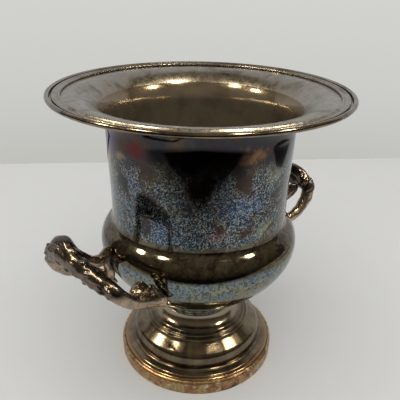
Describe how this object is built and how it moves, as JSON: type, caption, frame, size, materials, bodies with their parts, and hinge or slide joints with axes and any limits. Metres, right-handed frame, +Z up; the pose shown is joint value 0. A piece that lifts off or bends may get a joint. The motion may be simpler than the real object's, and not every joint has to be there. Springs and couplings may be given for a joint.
{
  "type": "cup trophy",
  "caption": "Urn-shaped cup trophy with a wide flat rim, round belly, turned spreading foot and two cast vine handles.",
  "frame": {"origin": "middle of the base, where the cup's axis meets the surface that it stands on", "axes": "+Z up along the cup's axis; +X through the middle of one handle, and -X through the other"},
  "size_m": [0.266, 0.24, 0.2539],
  "materials": {
    "bowl_plate": "polished silver plate under a heavy iridescent tarnish of blue, purple, gold and brown, finely speckled",
    "border_plate": "worn silver plate, grey with coppery edges",
    "collar_plate": "dull greenish-grey tarnish",
    "foot_plate": "polished plate with a brown-gold tarnish",
    "worn_band": "plate worn through to coppery metal, satin",
    "handle_plate": "cast, dark in the hollows, coppery and bright on the worn high places",
    "bare_wire": "drawn wire",
    "fastener_steel": "zinc plated"
  },
  "bodies": {
    "root": {"bowl_shell": "bowl_plate", "rim_wire": "bare_wire", "rim_border": "border_plate", "neck_collar": "collar_plate", "foot": "foot_plate", "foot_band": "worn_band", "foot_stud": "fastener_steel", "plain_washer": "fastener_steel", "spring_washer": "fastener_steel", "hex_nut": "fastener_steel", "handle_right": "handle_plate", "handle_left": "handle_plate"}
  },
  "joints": []
}
